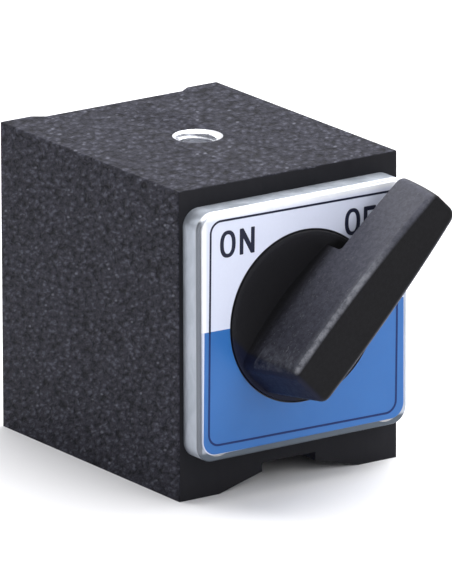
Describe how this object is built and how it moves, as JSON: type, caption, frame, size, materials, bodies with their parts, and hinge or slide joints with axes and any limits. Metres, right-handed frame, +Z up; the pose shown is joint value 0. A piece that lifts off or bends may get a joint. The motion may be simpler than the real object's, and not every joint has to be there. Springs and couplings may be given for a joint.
{
  "type": "switchable magnetic base",
  "caption": "Switchable magnetic holder: a block of two iron poles with a grooved base, a threaded hole on top and a front lever knob that turns the magnet rotor between OFF and ON.",
  "frame": {"origin": "the middle of the base, on the plane the two feet stand on, under the top thread's axis", "axes": "+Z up out of the top thread, +Y from the knob's face towards the back, +X to the right as the knob's face is looked at"},
  "size_m": [0.05, 0.0803, 0.0605],
  "materials": {
    "pole_iron": "dark grey wrinkle paint on the sides and top, smooth black front, ground feet",
    "spacer_alloy": "non-magnetic spacer, painted over on top",
    "rivet_brass": "non-magnetic rivets, ends painted over",
    "plate_zinc": "die-cast zinc alloy, satin",
    "screw_steel": "plain machined steel",
    "printed_label": "printed label, white above and blue below, gloss",
    "washer_nylon": "natural nylon",
    "bush_bronze": "sintered bronze",
    "ferrite": "sintered hard ferrite",
    "rotor_iron": "turned soft iron",
    "cap_zinc": "die-cast zinc alloy",
    "knob_plastic": "glass-filled nylon, fine moulded grain"
  },
  "bodies": {
    "base": {"left_pole_block": "pole_iron", "right_pole_block": "pole_iron", "upper_spacer": "spacer_alloy", "lower_spacer": "spacer_alloy", "pole_rivets": "rivet_brass", "front_plate": "plate_zinc", "plate_screws": "screw_steel", "plate_label": "printed_label", "front_wear_washer": "washer_nylon", "rear_bush": "bush_bronze", "rear_thrust_washer": "washer_nylon", "rear_plug": "screw_steel"},
    "rotor": {"magnet_blocks": "ferrite", "upper_pole_shoe": "rotor_iron", "lower_pole_shoe": "rotor_iron", "rotor_front_cap": "cap_zinc", "rotor_rear_cap": "cap_zinc", "front_cap_screws": "screw_steel", "rear_cap_screws": "screw_steel", "rear_stub": "screw_steel", "drive_key": "screw_steel", "knob": "knob_plastic"}
  },
  "joints": [
    {"name": "knob_turn", "type": "hinge", "parent": "base", "child": "rotor", "pos_m": [0, -0.03, 0.0335], "axis": [0, -1, 0], "range_deg": [0, 90]}
  ]
}
